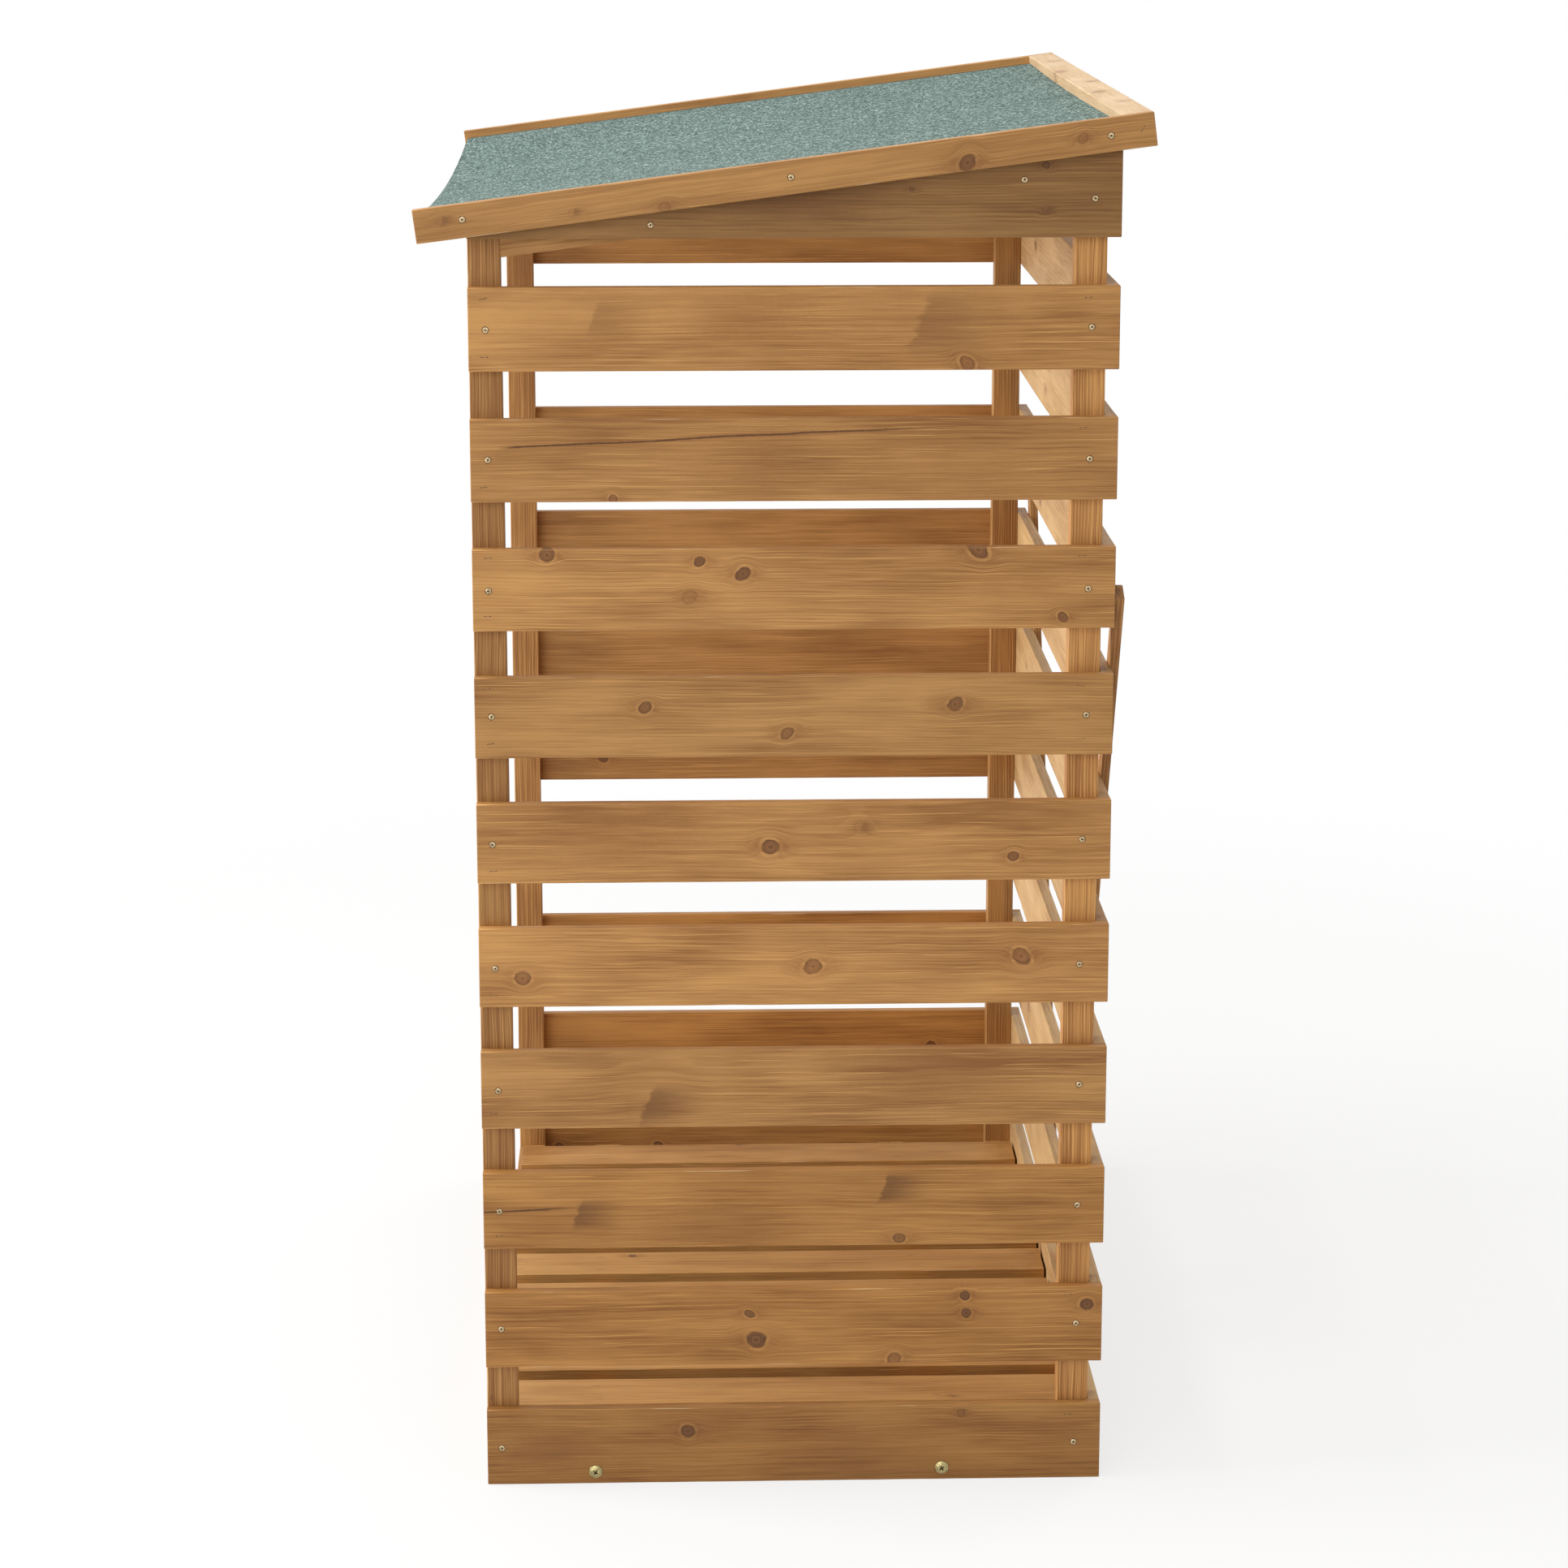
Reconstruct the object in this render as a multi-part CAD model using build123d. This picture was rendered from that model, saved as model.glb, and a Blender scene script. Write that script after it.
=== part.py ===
from build123d import *

import math
import os

# Log store: an open-fronted timber frame with slatted sides and back, a raised slatted floor
# and a single-pitch felted roof. Millimetres. +Z is up, the open front faces -Y, +X is the
# right-hand side seen from the front. The origin is at ground level, under the middle of the
# overall box.

# Body
body_width = 1200.0
body_depth = 774.0
post_width = 39.0
post_thickness = 28.0

# Slats of the sides and boards of the back, all from one stock and at the same levels
slat_count = 10
slat_height = 100.0
slat_thickness = 15.0
slat_pitch = 157.1

# Tapered board under each end of the roof
gable_tip_height = 21.0

# Rails and rafters
rafter_thickness = 28.0
rafter_depth = 49.0
front_rail_height = 28.0
rail_clearance = 1.0

# Braces across the outside of the back, from the bottom board up to a higher one
brace_thickness = 12.0
brace_width = 29.0
brace_top_board = 8
brace_top_rise_share = 0.35
brace_top_inset = 2.0
brace_foot_height = 18.0
brace_foot_place = 40.0

# Floor
floor_board_count = 9
floor_board_width = 84.0
floor_board_thickness = 15.0
floor_side_margin = 48.0
floor_front_setback = 6.0
floor_back_gap = 3.0
bearer_width = 39.0
bearer_height = 54.0
front_middle_bearer_place = 136.0
back_middle_bearer_place = 574.0

# Roof
roof_slope_deg = 7.39
front_overhang = 62.0
side_overhang = 8.0
barge_height = 40.0
barge_thickness = 16.0
rear_rail_thickness = 36.0
deck_thickness = 10.0
deck_setback = 5.0
deck_front_sag = 13.0
deck_rear_sag = 4.0
felt_thickness = 2.0
felt_drop = 11.0

# Worked out from the sizes above
slope = math.radians(roof_slope_deg)
slope_cos = math.cos(slope)
slope_sin = math.sin(slope)

half_width = body_width / 2
slat_inside = half_width - slat_thickness
post_inside = slat_inside - post_thickness
deck_half_width = half_width + side_overhang

deck_top_drop = felt_drop + felt_thickness
underside_drop = deck_top_drop + deck_thickness

# Distance up the slope from the roof's front end to the inner face of its rear rail, which
# stands just behind the body's back
rail_place = (front_overhang + body_depth - underside_drop * slope_sin) / slope_cos
roof_length = rail_place + rear_rail_thickness
roof_run = roof_length * slope_cos + barge_height * slope_sin

roof_front = -roof_run / 2
body_front = roof_front + front_overhang
body_back = body_front + body_depth
back_inside = body_back - slat_thickness
front_post_back = body_front + post_width
back_post_front = back_inside - post_width

gable_base = slat_count * slat_pitch
roof_front_height = (
    gable_base + gable_tip_height + underside_drop / slope_cos - front_overhang * slope_sin / slope_cos
)


def deck_underside(y):
    """Height of the flat edge of the roof deck's underside at a distance y from the origin."""
    return roof_front_height + (y - roof_front) * slope_sin / slope_cos - underside_drop / slope_cos


def bar(low, high):
    """A square-cut timber between two opposite corners."""
    size = [high[i] - low[i] for i in range(3)]
    return Pos(*low) * Box(*size, align=(Align.MIN, Align.MIN, Align.MIN))


def cut_timber(points, direction, amount):
    """A timber of even thickness with the outline of the points."""
    outline = make_face(Polyline(*points, close=True))
    return extrude(outline, amount=amount, dir=direction)


def both_sides(solid):
    """A piece of the right-hand side and its twin on the left."""
    return [solid, mirror(solid, about=Plane.YZ)]


def on_roof(solid):
    """Tilts a piece made along +Y, with the roof's top edge at Z zero, to its place on the roof."""
    seat = Plane(
        origin=(0, roof_front, roof_front_height),
        x_dir=(1, 0, 0),
        z_dir=(0, -slope_sin, slope_cos),
    )
    return seat.location * solid


def post(y_front):
    """Right-hand post, its top cut to the slope of the roof."""
    y_back = y_front + post_width
    outline = [
        (post_inside, y_front, 0),
        (post_inside, y_back, 0),
        (post_inside, y_back, deck_underside(y_back)),
        (post_inside, y_front, deck_underside(y_front)),
    ]
    return cut_timber(outline, (1, 0, 0), post_thickness)


def side_slat(level):
    """Right-hand slat, counted up from the ground."""
    base = level * slat_pitch
    return bar((slat_inside, body_front, base), (half_width, body_back, base + slat_height))


def back_board(level):
    """Board of the back, held between the slats of the two sides."""
    base = level * slat_pitch
    return bar((-slat_inside, back_inside, base), (slat_inside, body_back, base + slat_height))


def gable_board():
    """Right-hand board that fills the wedge between the top slat's gap and the roof."""
    outline = [
        (slat_inside, body_front, gable_base),
        (slat_inside, body_back, gable_base),
        (slat_inside, body_back, deck_underside(body_back)),
        (slat_inside, body_front, deck_underside(body_front)),
    ]
    return cut_timber(outline, (1, 0, 0), slat_thickness)


def rafter():
    """Right-hand rafter between the posts, behind the gable board."""
    rise = rafter_depth / slope_cos
    outline = [
        (slat_inside, front_post_back, deck_underside(front_post_back) - rise),
        (slat_inside, back_post_front, deck_underside(back_post_front) - rise),
        (slat_inside, back_post_front, deck_underside(back_post_front)),
        (slat_inside, front_post_back, deck_underside(front_post_back)),
    ]
    return cut_timber(outline, (-1, 0, 0), rafter_thickness)


def front_rail():
    """Rail between the front posts, clear of the deck where it sags."""
    top = deck_underside(body_front) - deck_front_sag / slope_cos - rail_clearance
    return bar(
        (-post_inside, body_front, top - front_rail_height),
        (post_inside, front_post_back, top),
    )


def back_brace():
    """Right-hand brace with square-cut ends, from the side of the back down towards its middle."""
    top = (brace_top_board - 1) * slat_pitch + brace_top_rise_share * slat_height
    foot_corner = Vector(brace_foot_place, body_back, brace_foot_height)
    top_corner = Vector(half_width - brace_top_inset, body_back, top)
    along = (top_corner - foot_corner).normalized()
    across = Vector(-along.Z, 0, along.X) * brace_width
    outline = [foot_corner, top_corner, top_corner + across, foot_corner + across]
    return cut_timber(outline, (0, 1, 0), brace_thickness)


def floor_boards():
    """Floor boards, front to back, spaced evenly between the two margins."""
    first = -post_inside + floor_side_margin
    pitch = (-2 * first - floor_board_width) / (floor_board_count - 1)
    y_front = body_front + floor_front_setback
    y_back = back_inside - floor_back_gap
    top = bearer_height + floor_board_thickness
    lefts = [first + i * pitch for i in range(floor_board_count)]
    return [bar((x, y_front, bearer_height), (x + floor_board_width, y_back, top)) for x in lefts]


def floor_bearers():
    """Bearers on the ground, all of one length: the outer two fit between the posts."""
    front_line = body_front + (post_width - bearer_width) / 2
    back_line = back_post_front + (post_width - bearer_width) / 2
    front_middle = body_front + front_middle_bearer_place - bearer_width / 2
    back_middle = body_front + back_middle_bearer_place - bearer_width / 2
    lines = [front_line, front_middle, back_middle, back_line]
    return [bar((-post_inside, y, 0), (post_inside, y + bearer_width, bearer_height)) for y in lines]


def sheet_section(place, top, thickness, sag):
    """Section of a roof sheet: flat over the posts and rafters, sagging in an arc between them."""
    base = top - thickness
    edge = deck_half_width
    outline = [
        Line((-edge, place, base), (-post_inside, place, base)),
        ThreePointArc((-post_inside, place, base), (0, place, base - sag), (post_inside, place, base)),
        Line((post_inside, place, base), (edge, place, base)),
        Line((edge, place, base), (edge, place, top)),
        Line((edge, place, top), (post_inside, place, top)),
        ThreePointArc((post_inside, place, top), (0, place, top - sag), (-post_inside, place, top)),
        Line((-post_inside, place, top), (-edge, place, top)),
        Line((-edge, place, top), (-edge, place, base)),
    ]
    return make_face(outline)


def sagging_sheet(top, thickness):
    """Sheet of the roof, which sags most at its unsupported front end."""
    front = sheet_section(deck_setback, top, thickness, deck_front_sag)
    rear = sheet_section(rail_place, top, thickness, deck_rear_sag)
    return on_roof(loft([front, rear], ruled=True))


def barge_board():
    """Right-hand barge board, along the roof's edge."""
    return on_roof(
        bar(
            (deck_half_width, 0, -barge_height),
            (deck_half_width + barge_thickness, roof_length, 0),
        )
    )


def rear_rail():
    """Rail that closes the roof's high end, level with the barge boards' top."""
    return on_roof(
        bar(
            (-deck_half_width, rail_place, -barge_height),
            (deck_half_width, roof_length, 0),
        )
    )


def all_parts():
    """Every node of the log store by name, each a list of its solids."""
    parts = {}
    for name, y_front in (("front", body_front), ("back", back_post_front)):
        right, left = both_sides(post(y_front))
        parts[f"right_{name}_post"] = [right]
        parts[f"left_{name}_post"] = [left]
    for level in range(slat_count):
        right, left = both_sides(side_slat(level))
        parts[f"right_slat_{level + 1:02d}"] = [right]
        parts[f"left_slat_{level + 1:02d}"] = [left]
    for level in range(slat_count + 1):
        parts[f"back_board_{level + 1:02d}"] = [back_board(level)]
    parts["gable_boards"] = both_sides(gable_board())
    parts["rafters"] = both_sides(rafter())
    parts["front_rail"] = [front_rail()]
    parts["back_braces"] = both_sides(back_brace())
    parts["floor_boards"] = floor_boards()
    parts["floor_bearers"] = floor_bearers()
    parts["roof_deck"] = [sagging_sheet(-deck_top_drop, deck_thickness)]
    parts["roof_felt"] = [sagging_sheet(-felt_drop, felt_thickness)]
    parts["barge_boards"] = both_sides(barge_board())
    parts["roof_rear_rail"] = [rear_rail()]
    return parts


os.makedirs("parts", exist_ok=True)
for node, solids in all_parts().items():
    shape = solids[0] if len(solids) == 1 else Compound(children=solids)
    export_step(shape, f"parts/{node}.step")
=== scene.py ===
import math
import random

import bmesh
import bpy
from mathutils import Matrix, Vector


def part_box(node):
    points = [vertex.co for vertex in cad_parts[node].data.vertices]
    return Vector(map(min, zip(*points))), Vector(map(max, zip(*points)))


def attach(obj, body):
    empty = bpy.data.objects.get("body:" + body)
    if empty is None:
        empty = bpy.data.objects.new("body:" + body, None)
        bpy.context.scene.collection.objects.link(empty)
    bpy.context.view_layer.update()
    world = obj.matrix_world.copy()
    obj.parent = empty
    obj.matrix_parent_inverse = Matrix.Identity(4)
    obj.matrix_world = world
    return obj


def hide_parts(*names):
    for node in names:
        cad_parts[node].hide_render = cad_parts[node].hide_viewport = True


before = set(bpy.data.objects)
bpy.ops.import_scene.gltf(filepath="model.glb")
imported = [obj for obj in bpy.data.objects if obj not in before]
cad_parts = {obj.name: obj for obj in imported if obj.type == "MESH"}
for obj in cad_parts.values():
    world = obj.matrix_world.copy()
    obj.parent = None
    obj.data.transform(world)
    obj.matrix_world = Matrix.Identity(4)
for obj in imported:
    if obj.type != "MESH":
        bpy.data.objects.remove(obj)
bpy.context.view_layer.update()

# Looks of an open-fronted log store: stained softwood boards with knots and rounded arrises,
# a mineral felt roof, and the screws, staples and bolts that hold it. Metres.

chance = random.Random(20)
mm = 0.001

# Slats on each side, counted up from the ground; the back has one board more
slat_count = 10

# Timber
arris_radius = 1.1 * mm
end_bevel = 0.6 * mm
station_gap = 26 * mm
nick_chance = 0.012
nick_radius = 2.6 * mm
knots_per_metre = 2.2
post_knots_per_metre = 0.9
most_stray_knots = 5
knots_at_once = 3
knot_influence = 3.2
out_of_reach = 9.0
far_off = -out_of_reach
no_knot = (far_off, 0.0, 1 * mm, 0.0)
no_crack = (far_off, 0.0, far_off + 1, 0.0)

# Browns of knots and of the swirls around them
swirl_brown = (0.25, 0.098, 0.027)
cloud_brown = (0.150, 0.064, 0.020)
knot_brown = (0.265, 0.112, 0.036)
knot_dark = (0.098, 0.039, 0.015)
rim_dark = (0.080, 0.030, 0.010)

# Heads of the fixings, and the dark wood pressed up around them
head_sides = 24
screw_stand = 0.68 * mm
bruise_depth = 0.3 * mm
bruise_rise = 0.03 * mm
head_base = 0.06 * mm
staple_crown = 7 * mm
staple_wire = 0.8 * mm

# Places of the fixings on their timbers
slip_of_hand = 2 * mm
staple_slip = 3 * mm
staple_turn = 0.15
staple_from_screw = {"front": -2 * mm, "back": -6 * mm}
bolt_height = 16 * mm
gable_screws = [(217 * mm, 16 * mm), (658 * mm, 68 * mm), (742 * mm, 46 * mm)]
barge_screw_from_front = 57 * mm
barge_screw_past_middle = 7 * mm
barge_screw_from_rear = 53 * mm
barge_screw_drop = 0.48
barge_staple_from_rear = 15 * mm
barge_staple_drop = 0.45
barge_staple_lean = math.radians(58)
back_screw_shares = (0.27, 0.73)
braced_boards = (1, 3, 5, 7)
floor_staple_shares = (0.25, 0.75)
floor_staple_stray = 4 * mm
floor_staple_turn = 0.2

# Bare wood where an arris is chipped
raw_wood = (0.72, 0.53, 0.31)

# Felt roof
front_sag = 13 * mm
rear_sag = 4 * mm
sheet_steps_across = 72
sheet_steps_up = 48

# Knots of the right-hand slats, counted up from the ground. Each is given by its distance from the
# front end, its height above the lower edge and its radius, in millimetres, and by how strong it is:
# 1 is a dark knot with a rim, and a low share is only a soft swirl of colour.
right_slat_knots = {
    1: [(253, 69, 8, 0.9), (598, 89, 5, 0.5), (80, 44, 18, 0.1), (470, 26, 24, 0.1)],
    2: [
        (331, 68, 5, 0.9), (339, 33, 10, 1.0), (601, 89, 6, 1.0), (603, 66, 6, 1.0),
        (755, 76, 7, 1.0), (513, 6, 8, 0.6),
    ],
    3: [(497, 76, 20, 0.3), (518, 9, 6, 0.8), (116, 44, 19, 0.26), (300, 30, 24, 0.1)],
    4: [(202, 27, 26, 0.33), (560, 70, 30, 0.1)],
    5: [(53, 37, 8, 0.8), (410, 49, 9, 0.75), (666, 60, 10, 0.75)],
    6: [(358, 44, 9, 0.9), (468, 68, 8, 0.4), (655, 30, 6, 0.9), (150, 60, 30, 0.1)],
    7: [(206, 62, 7, 0.85), (582, 64, 8, 0.85), (378, 29, 7, 0.75)],
    8: [
        (90, 93, 8, 0.9), (273, 84, 6, 1.0), (325, 69, 8, 1.0), (260, 41, 8, 0.5),
        (608, 97, 10, 0.9), (711, 14, 6, 0.9), (658, 54, 12, 0.15),
    ],
    9: [(170, 4, 5, 0.7), (344, 48, 22, 0.15), (560, 30, 26, 0.1)],
    10: [(593, 8, 8, 0.7), (533, 56, 38, 0.22), (146, 62, 20, 0.2), (330, 66, 26, 0.12)],
}

# Long dark shakes of two right-hand slats: distance and height of one end, then of the other
right_slat_cracks = {9: (30, 66, 680, 96), 3: (-8, 48, 122, 54)}

right_barge_knots = [
    (33, 23, 6, 0.4), (187, 12, 5, 0.4), (294, 5, 6, 0.5), (652, 10, 9, 0.9), (790, 20, 6, 0.5),
]
right_gable_knots = [(684, 33, 5, 0.45), (525, 57, 3, 0.6), (683, 85, 4, 0.8), (400, 40, 26, 0.1)]
left_gable_knots = [(260, 30, 7, 0.8), (610, 50, 9, 0.9)]

rear_rail_knots = [
    (170, 20, 9, 0.4), (395, 8, 9, 0.5), (640, 26, 9, 0.4), (830, 14, 9, 0.5), (1015, 24, 9, 0.4),
]

# The lowest slats of each side take a warmer copy of the side finish: painted shade, as the light and
# sheen from above that grey the upper slats fall off low down
shaded_low_slats = 3

# Lightness of the right-hand slats, from the ground up: each board's own tone, with painted shade that
# makes them darker towards the ground
right_slat_tones_and_shade = [0.79, 0.96, 0.94, 1.01, 1.16, 1.11, 0.98, 1.11, 1.04, 1.12]

# Painted light on the boards high up on the back: they are made paler, most at the top, where the light
# from the front falls on their inner faces
back_board_painted_light = {9: 1.06, 10: 1.12, 11: 1.18}

# Slats with a staple above or below the screw of an end, by that end and the rise in millimetres
staple_levels = {
    ("front", 37): (7, 8, 10),
    ("front", -32): (3, 4, 5, 6, 7, 8, 9, 10),
    ("back", 37): (1, 2, 7, 8, 9, 10),
    ("back", -32): (7,),
}

# The right-hand back post is made much paler, and the right-hand front post a little darker, than the
# rest of the frame
post_tones = {"right_front_post": 0.95, "right_back_post": 1.38}

# Lightness of the other timbers that differ from their neighbours
# The gable boards are darker: their own darker stain, with painted shade of the barge boards above them
gable_tone_and_shade = 0.64
brace_tone = 1.12
barge_tone = 0.90
rail_tone = 1.0

# Floor, light and camera
floor_radius = 40.0
floor_drop = 0.2 * mm
floor_white_share = 0.72
floor_fade = (1.4, 3.4)
sky_strength = 0.40
lamp_width = 3.0

# Each lamp's place, the height on the store's middle line that it points at, and its power
lamps = {
    "front_light": ((0.1, -5.2, 2.2), 1.0, 370),
    "side_light": ((5.2, -2.0, 3.4), 1.0, 94),
    "top_light": ((0.4, -0.4, 5.2), 1.0, 118),
    "back_light": ((-4.4, 4.4, 3.4), 0.9, 100),
}
camera_place = Vector((5.2544, -0.1384, 2.0442))
camera_aim = Vector((0.0, 0.0211, 0.8723))
camera_lens = 90.45
camera_sensor = 36.0
camera_shift = (-0.0019, -0.05)
camera_reach = 200.0


class Signal:
    """A shader socket that can be written in sums; a vector goes through Vector Math."""

    def __init__(self, finish, socket):
        self.finish = finish
        self.socket = socket

    def __add__(self, other):
        return self.finish.sum("ADD", self, other)

    __radd__ = __add__

    def __sub__(self, other):
        return self.finish.sum("SUBTRACT", self, other)

    def __rsub__(self, other):
        return self.finish.sum("SUBTRACT", other, self)

    def __mul__(self, other):
        return self.finish.sum("MULTIPLY", self, other)

    __rmul__ = __mul__

    def __truediv__(self, other):
        return self.finish.sum("DIVIDE", self, other)

    def alone(self, operation):
        return self.finish.node("ShaderNodeMath", {"operation": operation}, {0: self})

    def __abs__(self):
        return self.alone("ABSOLUTE")

    def fraction(self):
        return self.alone("FRACT")

    def root(self):
        return self.alone("SQRT")

    def at_most_one(self):
        return self.finish.node("ShaderNodeClamp", {}, {0: self})

    def larger(self, other):
        return self.finish.sum("MAXIMUM", self, other)

    def length(self):
        return self.finish.node("ShaderNodeVectorMath", {"operation": "LENGTH"}, {0: self}, out="Value")

    def beside(self, name):
        """Another output of the same node."""
        return Signal(self.finish, self.socket.node.outputs[name])

    def parts(self):
        first = self.finish.node("ShaderNodeSeparateXYZ", {}, {0: self})
        return [first, first.beside("Y"), first.beside("Z")]


class Finish:
    """A material, or the surround, under construction."""

    def __init__(self, name, store=bpy.data.materials):
        self.owner = store.new(name)
        self.owner.use_nodes = True
        self.tree = self.owner.node_tree
        self.tree.nodes.clear()

    def node(self, kind, settings, sockets, out=0):
        """Adds a node: its settings first, then the values or links of its sockets."""
        made = self.tree.nodes.new(kind)
        for key, value in settings.items():
            if key == "stops":
                self.set_stops(made.color_ramp, value)
            else:
                setattr(made, key, value)
        for key, value in sockets.items():
            if isinstance(value, Signal):
                self.tree.links.new(value.socket, made.inputs[key])
            else:
                made.inputs[key].default_value = value
        return Signal(self, made.outputs[out]) if made.outputs else None

    def set_stops(self, ramp, stops):
        while len(ramp.elements) < len(stops):
            ramp.elements.new(1.0)
        for element, (place, colour) in zip(ramp.elements, stops):
            element.position = place
            element.color = (*colour, 1.0)

    def sum(self, operation, first, second):
        """One Math node, or a Vector Math node where either side is a vector."""
        signals = [side for side in (first, second) if isinstance(side, Signal)]
        if all(side.socket.type == "VALUE" for side in signals):
            if not any(isinstance(side, tuple) for side in (first, second)):
                return self.node("ShaderNodeMath", {"operation": operation}, {0: first, 1: second})
        sides = [(side,) * 3 if isinstance(side, (int, float)) else side for side in (first, second)]
        return self.node("ShaderNodeVectorMath", {"operation": operation}, {0: sides[0], 1: sides[1]})

    def trait(self, name, out="Vector"):
        """A value that each timber's mesh carries."""
        return self.node("ShaderNodeAttribute", {"attribute_name": name}, {}, out=out)

    def noise(self, place, detail=2.0, roughness=0.5):
        sockets = {"Vector": place, "Scale": 1.0, "Detail": detail, "Roughness": roughness}
        return self.node("ShaderNodeTexNoise", {}, sockets)

    def step(self, value, start, end):
        """0 before the start and 1 past the end, softly; the start may be the higher of the two."""
        settings = {"interpolation_type": "SMOOTHSTEP"}
        if start < end:
            return self.node("ShaderNodeMapRange", settings, {0: value, 1: start, 2: end})
        return self.node("ShaderNodeMapRange", settings, {0: value, 1: end, 2: start, 3: 1.0, 4: 0.0})

    def mix(self, first, second, share, blend="MIX"):
        colours = [(*side, 1.0) if isinstance(side, tuple) else side for side in (first, second)]
        settings = {"data_type": "RGBA", "blend_type": blend}
        return self.node("ShaderNodeMix", settings, {0: share, 6: colours[0], 7: colours[1]}, out=2)

    def shade(self, colour, amount):
        """The colour made darker or lighter by a value."""
        return self.mix(colour, amount, 1.0, "MULTIPLY")

    def bump(self, height, strength, depth):
        sockets = {"Height": height, "Strength": strength, "Distance": depth}
        return self.node("ShaderNodeBump", {}, sockets)

    def surface(self, **sockets):
        """Ends the material in a plain surface with these sockets set or linked."""
        named = {key.replace("_", " "): value for key, value in sockets.items()}
        shader = self.node("ShaderNodeBsdfPrincipled", {}, named)
        self.node("ShaderNodeOutputMaterial", {}, {"Surface": shader})
        return self.owner

    def seen_directly(self):
        """1 for what the camera sees, straight or by reflection, and 0 for light on its way."""
        path = self.node("ShaderNodeLightPath", {}, {}, out="Is Camera Ray")
        return path.larger(path.beside("Is Glossy Ray")).larger(path.beside("Is Transmission Ray"))


# Finishes


def stained_timber(name, pale, dark, ring_width, contrast):
    """Softwood under a brown satin stain: growth rings, fibres, pale threads, blotches and knots."""
    finish = Finish(name)
    grain = finish.trait("grain")
    seed = finish.trait("seed")
    along, across = grain.parts()[:2]
    lightness, end_grain, arris = finish.trait("tone").parts()

    band = finish.noise(grain * (1.4, 16.0, 16.0) + seed) - 0.5
    ripple = finish.noise(grain * (12.0, 85.0, 85.0) + seed) - 0.5
    ragged = finish.noise(grain * (170.0, 240.0, 240.0) + seed) - 0.5
    blotch = finish.noise(grain * (6.0, 22.0, 22.0) + seed) - 0.5
    bend = (finish.noise(grain * (5.0, 14.0, 14.0) + seed * 3.0) - 0.5) * 0.008

    # Knots and swirls near each spot; fibres and growth rings bend around the knots
    core = rim = wings = halo = cloud = lift = 0.0
    nearest = out_of_reach
    for number in range(knots_at_once):
        knot = finish.trait(f"knot_{number}")
        strength = finish.trait(f"knot_{number}", "Alpha")
        hardness = finish.step(strength, 0.25, 0.6)
        softness = finish.step(strength, 0.12, 0.3) * (1.0 - hardness)
        weight = hardness * strength
        radius = knot.parts()[2]
        apart = grain - knot
        away, aside = apart.parts()[:2]
        leaning = away * (0.95 + blotch * 0.9) + aside * (band * 2.0)
        reach = (leaning * leaning + aside * aside).root() / radius
        edge = reach + ragged * 0.3 + ripple * 0.45
        core = finish.step(edge, 1.12, 0.84) * weight + core
        rim = finish.step(abs(edge - 0.94), 0.23, 0.03) * weight + rim
        nearest = finish.sum("MINIMUM", edge + (1.0 - hardness) * out_of_reach, nearest)
        tail = (apart * (0.42, 1.3, 0.0)).length() / radius + ragged * 0.8 + ripple * 1.5
        wings = finish.step(tail, 1.15, 0.4) * weight + wings
        spread = (apart * (0.4, 1.0, 0.0)).length() / radius + ragged * 0.9 + blotch * 3.4
        around = finish.step(spread, 2.3, 0.3) * (strength * 0.3 + 0.7) * (1.0 - softness * 0.75)
        halo = finish.sum("MAXIMUM", around, halo)
        slant = (away - aside * 0.36) / radius + ragged * 0.3 + ripple * 0.7
        height = abs(aside / radius + blotch * 1.2)
        flame = finish.step(slant, -0.1, 0.14) * finish.step(slant, 3.4, 0.1)
        cloud = flame * finish.step(height, 1.2, 0.45) * softness + cloud
        lift = finish.step(reach, 3.4, 0.0) * radius * hardness + lift
        bend = bend - aside * (finish.step(reach, 3.4, 0.9) * hardness * 0.55)

    flow = grain + bend * (0.0, 1.0, 0.0)
    fibre = finish.noise(flow * (16.0, 900.0, 900.0) + seed, 2.0, 0.65) - 0.5
    thread = finish.noise(flow * (6.0, 560.0, 560.0) + seed * 2.0, 1.0) - 0.5
    streak = finish.noise(flow * (3.5, 170.0, 170.0) + seed) - 0.5

    # Growth rings about the pith, each pale at first and dark at its end
    pith = finish.trait("pith")
    taper = finish.trait("pith", "Alpha")
    from_pith = ((flow - pith) * (0.0, 1.0, 1.0)).length() + along * taper
    growth = (from_pith + band * 0.007 + ripple * 0.002 + lift * 0.9) / ring_width
    uneven = growth + finish.noise(growth * (0.5, 0.5, 0.5) + seed, 1.0) * 1.8
    year = uneven.fraction()
    late_wood = finish.step(year, 0.2, 0.92) * finish.step(year, 1.0, 0.93)
    pale_thread = finish.step(thread, 0.11, 0.21)

    # A crack along a straight line that the grain makes waver
    crack_start, crack_low, crack_end = finish.trait("crack").parts()
    crack_high = finish.trait("crack", "Alpha")
    run = (along - crack_start) / (crack_end - crack_start)
    off_line = abs(across - crack_low - run * (crack_high - crack_low) + band * 0.008 + ripple * 0.004)
    inside = finish.step(run, 0.0, 0.04) * finish.step(run, 1.0, 0.6)
    crack = finish.step(off_line + ragged * 0.0012, 0.0017, 0.0005) * inside
    crack_stain = finish.step(off_line, 0.007, 0.0) * inside

    # A knot's heart, and the broken pale ring around it
    eye = finish.step(nearest, 0.36, 0.12)
    branch_ring = finish.step(abs(nearest - 0.62), 0.16, 0.02)
    depth_of_brown = finish.step(core, 0.72, 1.0) * 0.5
    heart = finish.mix(knot_brown, knot_dark, eye * 0.7 + branch_ring * 0.5 + depth_of_brown)
    pale_ring = finish.step(abs(nearest - 1.32), 0.36, 0.0)
    ring_share = 0.21 + finish.step(ripple, -0.05, 0.15) * 0.39

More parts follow.
